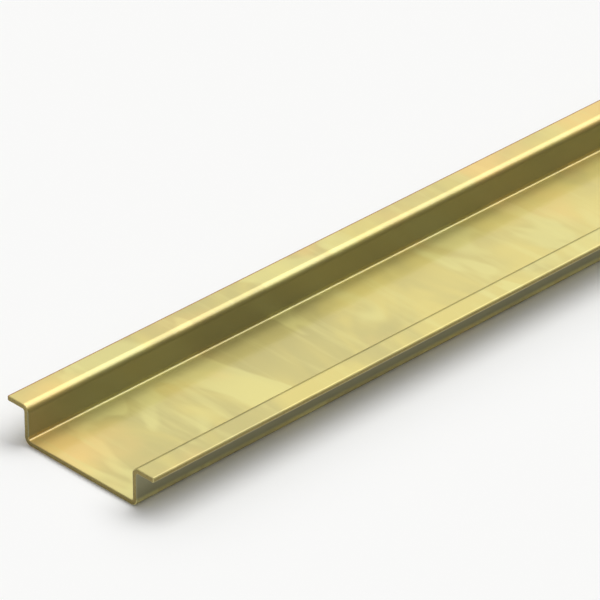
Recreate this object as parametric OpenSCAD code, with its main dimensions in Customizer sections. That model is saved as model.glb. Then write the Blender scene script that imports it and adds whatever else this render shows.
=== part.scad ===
// Top-hat mounting rail, TH 35-7.5: one length of roll-formed steel strip.
// The rail lies along X with its open channel upwards. Millimetres throughout.
// Z = 0 is the underside of the base, X = 0 is the middle of the length.

/* [Rail] */
// Length that the rail is cut to
rail_length = 1000; // [50:1:2000]
// Width over both lips
rail_width = 35; // [33:0.5:45]
// Height from the underside of the base to the top of the lips
rail_height = 7.5; // [6:0.1:15]
// Width of the channel, over the outer faces of its two walls
channel_width = 27; // [20:0.5:28]

/* [Strip] */
// Thickness of the steel strip
sheet = 1; // [0.8:0.1:1.5]
// Inner radius of the four roll-formed bends
bend_radius = 0.4; // [0.1:0.1:0.8]
// Rounding of the slit edges of the strip, at the rim of each lip
slit_radius = 0.15; // [0.05:0.05:0.3]

/* [Hidden] */
arc_steps = 48;
strip_colour = [0.85, 0.78, 0.48];

// Radius on the outside of a bend, where the strip is stretched
bend_outside = bend_radius + sheet;
// Outer face of a channel wall, measured from the middle of the rail
wall_face = channel_width / 2;
// Rim of a lip, measured from the middle of the rail
lip_rim = rail_width / 2;
// Underside of the lips
lip_underside = rail_height - sheet;

// A quarter of a ring about the origin, in the quadrant that the two signs name
module bend_section(side_x, side_y) {
    intersection() {
        difference() {
            circle(r = bend_outside, $fn = arc_steps);
            circle(r = bend_radius, $fn = arc_steps);
        }
        translate([side_x > 0 ? 0 : -bend_outside, side_y > 0 ? 0 : -bend_outside])
            square(bend_outside);
    }
}

// The flat floor of the channel, between its two bends
module base_section() {
    floor_width = 2 * (wall_face - bend_outside);
    translate([-floor_width / 2, 0])
        square([floor_width, sheet]);
}

// The bend from the base up into the wall
module foot_bend_section() {
    translate([wall_face - bend_outside, bend_outside])
        bend_section(1, -1);
}

// The upright wall between the two bends
module wall_section() {
    translate([wall_face - sheet, bend_outside])
        square([sheet, rail_height - 2 * bend_outside]);
}

// The bend from the wall out into the lip
module lip_bend_section() {
    translate([wall_face + bend_radius, rail_height - bend_outside])
        bend_section(-1, 1);
}

// The flat lip, with its slit edge rounded top and bottom
module lip_section() {
    lip_start = wall_face + bend_radius;
    translate([lip_start, lip_underside])
        square([lip_rim - slit_radius - lip_start, sheet]);
    translate([lip_rim - 2 * slit_radius, lip_underside + slit_radius])
        square([2 * slit_radius, sheet - 2 * slit_radius]);
    for (height = [lip_underside + slit_radius, rail_height - slit_radius])
        translate([lip_rim - slit_radius, height])
            circle(r = slit_radius, $fn = arc_steps);
}

// One side of the hat, from the base to the rim of the lip
module side_section() {
    foot_bend_section();
    wall_section();
    lip_bend_section();
    lip_section();
}

// The whole strip seen from its end
module rail_section() {
    base_section();
    side_section();
    mirror([1, 0])
        side_section();
}

// The rail: the section drawn out along X and sawn square at both ends
module rail() {
    color(strip_colour)
        rotate([90, 0, 90])
            translate([0, 0, -rail_length / 2])
                linear_extrude(height = rail_length)
                    rail_section();
}

rail();
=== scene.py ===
import math

import bmesh
import bpy
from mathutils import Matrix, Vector


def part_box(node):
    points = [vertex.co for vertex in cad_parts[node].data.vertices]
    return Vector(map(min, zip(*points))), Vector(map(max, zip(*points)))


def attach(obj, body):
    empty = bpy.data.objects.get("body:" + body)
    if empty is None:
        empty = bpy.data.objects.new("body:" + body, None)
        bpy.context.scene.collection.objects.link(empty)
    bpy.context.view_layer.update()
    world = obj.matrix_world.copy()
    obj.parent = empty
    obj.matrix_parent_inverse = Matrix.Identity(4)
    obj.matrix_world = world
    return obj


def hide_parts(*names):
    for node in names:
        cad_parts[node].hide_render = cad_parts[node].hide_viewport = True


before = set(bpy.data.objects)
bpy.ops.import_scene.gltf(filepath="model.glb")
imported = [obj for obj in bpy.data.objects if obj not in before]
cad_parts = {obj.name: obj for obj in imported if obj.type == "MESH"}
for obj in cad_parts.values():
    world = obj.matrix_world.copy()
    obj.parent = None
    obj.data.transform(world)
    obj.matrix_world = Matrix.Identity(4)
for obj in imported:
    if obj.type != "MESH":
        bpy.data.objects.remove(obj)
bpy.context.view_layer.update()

# A length of top-hat mounting rail: steel strip, roll formed, zinc plated and yellow chromated.
# It lies along X with its channel upwards. Metres throughout.

RAIL_LOW, RAIL_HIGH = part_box("rail")
MM = 0.001
TINY = 0.001 * MM               # points nearer together than this are in one place

# The strip and its bends
STRIP_THICKNESS = 1.0 * MM
CHANNEL_WIDTH = 27.0 * MM       # over the outer faces of the two walls
BEND_INNER_RADIUS = 0.4 * MM
BEND_OUTER_RADIUS = BEND_INNER_RADIUS + STRIP_THICKNESS
BEND_STEPS = 16                 # how many flats stand for the curve of a bend
SLIT_EDGE_RADIUS = 0.25 * MM
CUT_END_RADIUS = 0.15 * MM
EDGE_STEPS = 4

# The rail's two finishes, as material numbers, and the map that the first one follows
SKIN = 0
CUT_EDGE = 1
FLAT_MAP = "flat_strip"

# Where the skin changes along, up and across the rail: where each change starts and where it ends
GOLDEN_END = (4 * MM, 26 * MM)          # more golden before it, measured from the first cut end
# Painted shade: the walls are painted darker between the foot and the head heights below
WALL_SHADE_FOOT = (STRIP_THICKNESS, STRIP_THICKNESS + 0.9 * MM)
WALL_SHADE_HEAD = (RAIL_HIGH.z - BEND_OUTER_RADIUS, RAIL_HIGH.z - BEND_INNER_RADIUS)
# Painted reflection: a brown line on the lip's top face next to the +Y rim, between these
PAINTED_RIM_REFLECTION = (RAIL_HIGH.y - 0.45 * MM, RAIL_HIGH.y - 0.3 * MM)

GOLDEN_END_BOOST = 0.13         # what that end adds to the pattern of the golden patches
SATIN_ROUGHNESS = 0.50
STRAW_ROUGHNESS = 0.06          # what the straw clouds add to it

# The camera, and the point of the floor in the middle of its picture
CAMERA_AIM = Vector((-436.0, 14.3, 0.0)) * MM
CAMERA_HEADING = math.radians(45.6)     # from +X towards +Y
CAMERA_TILT = math.radians(31.2)        # how far it looks down
CAMERA_DISTANCE = 960.0 * MM
CAMERA_REACH = 100.0            # how far away it still sees
CAMERA_LENS = 336.8             # millimetres, as the sensor's width is
CAMERA_SENSOR = 36.0

# The studio, a room of soft light: how bright it is in each direction
WINDOW_LEVEL = 3.4
WINDOW_HEADING = math.radians(20)       # from +X towards +Y
WALL_LEVEL = 0.92               # the pale wall that the camera looks towards
ROOM_LEVEL = 0.45               # the other walls
SKIRTING_SHARE = 0.1            # what is left of both near the floor, for dark lines on the bends
DIM_LEVEL = 0.08                # the unlit side, towards +X and -Y
DIM_HEADING = math.radians(-48)

# The soft edges in that room: where each starts and where it ends.
# Feet and tops are heights, from 0 at the horizon to 1 straight up.
# Sides say how nearly a direction points at the thing, from 0 at right angles to 1 straight at it.
SKIRTING_TOP = (0.22, 0.42)
WALL_SIDE = (0.2, 0.6)
WINDOW_SIDE = (0.0, 0.3)
WINDOW_FOOT = (0.69, 0.81)
WINDOW_SLOPE = 0.2              # how much lower that foot is towards the unlit side
DIM_TOP = (-0.12, 0.06)
DIM_SLOPE = 0.9                 # how much higher that top is towards the unlit side

FLOOR_SIZE = 30.0
FLOOR_DROP = 0.05 * MM          # how far it is below the rail, so that no two faces coincide


def srgb(red, green, blue):
    """A colour given as 0 to 255 screen values, as the linear colour that a shader takes."""
    def linear(level):
        """The standard curve from a screen's values to amounts of light."""
        level /= 255
        return level / 12.92 if level <= 0.04045 else ((level + 0.055) / 1.055) ** 2.4
    return (linear(red), linear(green), linear(blue), 1.0)


class Value:
    """A number in a shader. Arithmetic on it adds Math nodes."""

    def __init__(self, finish, socket):
        self.finish = finish
        self.socket = socket

    def maths(self, operation, first, second):
        return self.finish.node("ShaderNodeMath", {"operation": operation}, {0: first, 1: second})

    def __add__(self, other):
        return self.maths("ADD", self, other)

    def __sub__(self, other):
        return self.maths("SUBTRACT", self, other)

    def __rsub__(self, other):
        return self.maths("SUBTRACT", other, self)

    def __mul__(self, other):
        return self.maths("MULTIPLY", self, other)

    __radd__ = __add__
    __rmul__ = __mul__


class Finish:
    """The nodes of one material, or of the world."""

    # The sockets that a Mix node uses for colours
    MIX_AMOUNT = 0
    MIX_FIRST = 6
    MIX_SECOND = 7
    MIX_RESULT = 2

    def __init__(self, owner):
        owner.use_nodes = True
        self.tree = owner.node_tree
        self.tree.nodes.clear()

    def node(self, kind, settings, inputs, output=0):
        """Adds a node, sets it up, fills its sockets with values or links, and gives one output."""
        made = self.tree.nodes.new(kind)
        for name, setting in settings.items():
            setattr(made, name, setting)
        for key, value in inputs.items():
            if isinstance(value, Value):
                self.tree.links.new(value.socket, made.inputs[key])
            else:
                made.inputs[key].default_value = value
        if made.outputs:
            return Value(self, made.outputs[output])

    def component(self, vector, axis):
        """The X, Y or Z of a vector."""
        return self.node("ShaderNodeSeparateXYZ", {}, {"Vector": vector}, axis)

    def mix_colours(self, amount, first, second):
        """From the first colour to the second as amount goes from 0 to 1."""
        return self.node("ShaderNodeMix", {"data_type": "RGBA"},
                         {self.MIX_AMOUNT: amount, self.MIX_FIRST: first, self.MIX_SECOND: second},
                         self.MIX_RESULT)

    def step(self, value, low, high):
        """A smooth step from 0 to 1 as value goes from low to high."""
        return self.node("ShaderNodeMapRange", {"interpolation_type": "SMOOTHSTEP"},
                         {"Value": value, "From Min": low, "From Max": high})

    def noise(self, place, waves, shift=(0, 0, 0), detail=3.0, distortion=0.0):
        """Cloudy noise from 0 to 1, with so many waves a metre along each axis."""
        scaled = self.node("ShaderNodeMapping", {},
                           {"Vector": place, "Location": shift, "Scale": waves})
        return self.node("ShaderNodeTexNoise", {},
                         {"Vector": scaled, "Scale": 1.0, "Detail": detail, "Distortion": distortion})

    def surface(self, shader):
        """Ends the material with its shader."""
        self.node("ShaderNodeOutputMaterial", {}, {"Surface": shader})


def shown(bm, name, *finishes):
    """Makes an object of the scene from a shape that is ready."""
    mesh = bpy.data.meshes.new(name)
    bm.to_mesh(mesh)
    bm.free()
    for finish in finishes:
        mesh.materials.append(finish)
    made = bpy.data.objects.new(name, mesh)
    bpy.context.scene.collection.objects.link(made)
    return made


# The rail

def rail_strip():
    """The whole rail, as one closed piece."""
    bm = folded_strip()
    # The sheet lies inside the bends of the lips and outside the bends of the base
    bend(bm, RAIL_HIGH.z - STRIP_THICKNESS, BEND_INNER_RADIUS)
    bend(bm, 0, BEND_OUTER_RADIUS)
    lay_out_flat(bm)
    bmesh.ops.solidify(bm, geom=bm.faces[:], thickness=STRIP_THICKNESS)
    cut_edges(bm)
    for face in bm.faces:
        face.smooth = True
    rail = shown(bm, "rail_strip", chromated_skin(), cut_steel_and_shade())
    shading = rail.modifiers.new("flat_faces_stay_flat", "WEIGHTED_NORMAL")
    shading.keep_sharp = True
    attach(rail, "root")
    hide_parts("rail")


def folded_strip():
    """The lower side of the strip, as a sheet with four sharp folds, as long as the rail."""
    rim = RAIL_HIGH.y
    wall = CHANNEL_WIDTH / 2
    lip = RAIL_HIGH.z - STRIP_THICKNESS
    corners = [(-rim, lip), (-wall, lip), (-wall, 0), (wall, 0), (wall, lip), (rim, lip)]
    bm = bmesh.new()
    line = [bm.verts.new((RAIL_LOW.x, y, z)) for y, z in corners]
    section = [bm.edges.new(pair) for pair in zip(line, line[1:])]
    drawn = bmesh.ops.extrude_edge_only(bm, edges=section)["geom"]
    far_end = [part for part in drawn if isinstance(part, bmesh.types.BMVert)]
    bmesh.ops.translate(bm, verts=far_end, vec=(RAIL_HIGH.x - RAIL_LOW.x, 0, 0))
    bmesh.ops.recalc_face_normals(bm, faces=bm.faces)
    base = min(bm.faces, key=lambda face: face.calc_center_median().z)
    if base.normal.z > 0:
        bmesh.ops.reverse_faces(bm, faces=bm.faces)
    return bm


def bend(bm, height, radius):
    """Rounds the two folds at one height."""
    folds = [edge for edge in bm.edges
             if len(edge.link_faces) == 2 and abs(middle_of(edge).z - height) < TINY]
    round_over(bm, folds, radius, BEND_STEPS)


def round_over(bm, edges, radius, steps):
    """Rounds some edges. The new faces are part of the skin."""
    rounded = bmesh.ops.bevel(bm, geom=edges, offset=radius, offset_type="OFFSET", segments=steps,
                              profile=0.5, affect="EDGES", material=-1)
    for face in rounded["faces"]:
        face.material_index = SKIN


def lay_out_flat(bm):
    """A UV map in metres: along the rail, and across the strip as if it were rolled flat."""
    across = distances_from_rim(bm)
    flat = bm.loops.layers.uv.new(FLAT_MAP)
    for face in bm.faces:
        for loop in face.loops:
            place = loop.vert.co
            loop[flat].uv = (place.x - RAIL_LOW.x, across[place_in_section(place)])


def distances_from_rim(bm):
    """How far each place in the section is from the -Y rim, walked round the bends."""
    distances = {}
    walked = 0.0
    first_end = [point for point in bm.verts if point.co.x == RAIL_LOW.x]
    point = min(first_end, key=lambda point: point.co.y)
    while point:
        distances[place_in_section(point.co)] = walked
        onward = None
        for edge in point.link_edges:
            other = edge.other_vert(point)
            if other in first_end and place_in_section(other.co) not in distances:
                walked += edge.calc_length()
                onward = other
        point = onward
    return distances


def place_in_section(point):
    """A point's Y and Z as whole numbers, so that points at one place in the section match."""
    return round(point.y / TINY), round(point.z / TINY)


def cut_edges(bm):
    """Gives the cut faces their own finish and rounds their edges."""
    for face in bm.faces:
        middle = face.calc_center_median()
        face.material_index = CUT_EDGE if at_cut_end(middle) or at_slit_edge(middle) else SKIN
    slit_corners = [edge for edge in bm.edges
                    if at_slit_edge(middle_of(edge)) and not at_cut_end(middle_of(edge))]
    round_over(bm, slit_corners, SLIT_EDGE_RADIUS, EDGE_STEPS)
    end_corners = [edge for edge in bm.edges
                   if sum(at_cut_end(face.calc_center_median()) for face in edge.link_faces) == 1]
    round_over(bm, end_corners, CUT_END_RADIUS, EDGE_STEPS)


def middle_of(edge):
    return (edge.verts[0].co + edge.verts[1].co) / 2


def at_cut_end(point):
    """Whether a point is on one of the two sawn ends."""
    return min(abs(point.x - RAIL_LOW.x), abs(point.x - RAIL_HIGH.x)) < TINY


def at_slit_edge(point):
    """Whether a point is on the rim of a lip, where the strip was slit from a wider sheet."""
    return abs(abs(point.y) - RAIL_HIGH.y) < TINY


# Finishes

def chromated_skin():
    """Yellow chromate over zinc: a satin metal skin, clouded across the strip as it drained."""
    material = bpy.data.materials.new("yellow_chromate")
    skin = Finish(material)
    strip = skin.node("ShaderNodeUVMap", {"uv_map": FLAT_MAP}, {})
    clouds = skin.noise(strip, waves=(44, 21, 1), distortion=0.9)
    colour = chromate_clouds(skin, strip, clouds)
    colour = painted_wall_shade(skin, colour)
    colour = painted_rim_reflection(skin, colour)
    rolling_lines = skin.noise(strip, waves=(14, 2600, 1), detail=2)
    bump = skin.node("ShaderNodeBump", {},
                     {"Strength": 0.1, "Distance": 0.02 * MM, "Height": rolling_lines})
    roughness = SATIN_ROUGHNESS + STRAW_ROUGHNESS * clouds
    shader = skin.node("ShaderNodeBsdfPrincipled", {},
                       {"Base Color": colour, "Metallic": 0.9, "Roughness": roughness,
                        "Normal": bump, "Coat Weight": 0.9, "Coat Roughness": 0.15})
    skin.surface(shader)
    return material


def chromate_clouds(skin, strip, clouds):
    """The film's colour: straw clouds on khaki, pale bands, golden patches and fine streaks."""
    khaki = srgb(190, 179, 112)
    straw = srgb(211, 197, 118)
    gold = srgb(230, 197, 120)
    pale = srgb(216, 209, 136)

    def tinted(colour, tint, pattern, low, high, most):
        """Lays a tint over a colour, from none at the pattern's low value to the most at its high."""
        return skin.mix_colours(skin.step(pattern, low, high) * most, colour, tint)

    colour = skin.mix_colours(skin.step(clouds, low=0.40, high=0.60), khaki, straw)
    bands = skin.noise(strip, waves=(64, 26, 1), shift=(7.3, 2.1, 0), detail=2, distortion=1.4)
    colour = tinted(colour, pale, bands, low=0.55, high=0.63, most=0.6)
    golden_end = 1 - skin.step(skin.component(strip, "X"), *GOLDEN_END)
    patches = skin.noise(strip, waves=(30, 26, 1), shift=(3.1, 8.4, 0))
    patches = patches + GOLDEN_END_BOOST * golden_end
    colour = tinted(colour, gold, patches, low=0.53, high=0.72, most=0.75)
    streaks = skin.noise(strip, waves=(380, 42, 1), shift=(1.7, 0.4, 0))
    return tinted(colour, pale, streaks, low=0.50, high=0.75, most=0.4)


def painted_wall_shade(skin, colour):
    """The walls, painted darker from the foot up to the bends under the lips: painted shade."""
    # Painted shade: a darker tone laid over the walls
    wall_shade = srgb(142, 138, 101)
    height = skin.component(skin.node("ShaderNodeTexCoord", {}, {}, "Object"), "Z")
    walls = skin.step(height, *WALL_SHADE_FOOT) * (1 - skin.step(height, *WALL_SHADE_HEAD))
    return skin.mix_colours(walls, colour, wall_shade)


def painted_rim_reflection(skin, colour):
    """A painted reflection: a brown line along the rim of the lip on the +Y side."""
    # Painted reflection: the colour of the line along the rim
    brown = srgb(170, 114, 48)
    across = skin.component(skin.node("ShaderNodeTexCoord", {}, {}, "Object"), "Y")
    return skin.mix_colours(skin.step(across, *PAINTED_RIM_REFLECTION), colour, brown)


def cut_steel_and_shade():
    """The sawn ends and slit edges: the same film, darker partly for the torn steel and partly as
    painted shade, and without a gloss.
    """
    material = bpy.data.materials.new("cut_edge_chromate")
    cut = Finish(material)
    place = cut.node("ShaderNodeTexCoord", {}, {}, "Object")
    grain = cut.noise(place, waves=(3000, 3000, 3000))
    # Partly painted shade: both grain tones are darker than the skin
    dark = srgb(122, 108, 60)
    light = srgb(172, 156, 98)
    colour = cut.mix_colours(grain, dark, light)
    bump = cut.node("ShaderNodeBump", {}, {"Strength": 0.2, "Distance": 0.05 * MM, "Height": grain})
    shader = cut.node("ShaderNodeBsdfPrincipled", {},
                      {"Base Color": colour, "Metallic": 0.9, "Roughness": 0.5, "Normal": bump})
    cut.surface(shader)
    return material


def floor_paint():
    """A matt paint, just short of white."""
    material = bpy.data.materials.new("pale_floor")
    paint = Finish(material)
    shader = paint.node("ShaderNodeBsdfDiffuse", {}, {"Color": srgb(250, 250, 249)})
    paint.surface(shader)
    return material


# The studio

def floor():
    """The floor that the rail lies on, wide enough to fill the picture."""
    bm = bmesh.new()
    bmesh.ops.create_grid(bm, x_segments=1, y_segments=1, size=FLOOR_SIZE / 2)
    bmesh.ops.translate(bm, verts=bm.verts, vec=(0, 0, -FLOOR_DROP))
    shown(bm, "floor", floor_paint())


def heading(angle, rise=0.0):
    """The direction at an angle from +X towards +Y, and at another above the level."""
    ahead = math.cos(rise)
    return Vector((ahead * math.cos(angle), ahead * math.sin(angle), math.sin(rise)))


def studio_light():
    """A soft room round the rail, as bright in each direction as its surfaces are."""
    world = bpy.data.worlds.new("studio")
    bpy.context.scene.world = world
    room = Finish(world)
    direction = room.node("ShaderNodeTexCoord", {}, {}, "Generated")
    height = room.component(direction, "Z")

    def towards(middle):
        """How nearly a direction points at the middle of a thing, from -1 to 1."""
        return room.node("ShaderNodeVectorMath", {"operation": "DOT_PRODUCT"},
                         {0: direction, 1: middle}, "Value")

    dim_side = towards(heading(DIM_HEADING))
    lit = room.step(height - DIM_SLOPE * dim_side, *DIM_TOP)
    wall = room.step(towards(heading(CAMERA_HEADING)), *WALL_SIDE)
    window = room.step(height + WINDOW_SLOPE * dim_side, *WINDOW_FOOT)
    window = window * room.step(towards(heading(WINDOW_HEADING)), *WINDOW_SIDE)
    above_skirting = room.step(height, *SKIRTING_TOP)
    level = ROOM_LEVEL + wall * (WALL_LEVEL - ROOM_LEVEL)
    level = level * (SKIRTING_SHARE + (1 - SKIRTING_SHARE) * above_skirting)
    level = DIM_LEVEL + lit * (level - DIM_LEVEL)
    level = level + window * (WINDOW_LEVEL - level)
    white = (1, 1, 1, 1)
    shader = room.node("ShaderNodeBackground", {}, {"Color": white, "Strength": level})
    room.node("ShaderNodeOutputWorld", {}, {"Surface": shader})


def camera():
    """The camera, which looks at its aim from the photograph's side."""
    looking = heading(CAMERA_HEADING, -CAMERA_TILT)
    view = bpy.data.cameras.new("camera")
    view.lens = CAMERA_LENS
    view.sensor_width = CAMERA_SENSOR
    view.clip_end = CAMERA_REACH
    placed = bpy.data.objects.new("camera", view)
    placed.location = CAMERA_AIM - looking * CAMERA_DISTANCE
    placed.rotation_euler = looking.to_track_quat("-Z", "Y").to_euler()
    bpy.context.scene.collection.objects.link(placed)
    bpy.context.scene.camera = placed


rail_strip()
floor()
studio_light()
camera()
bpy.context.scene.view_settings.view_transform = "Standard"
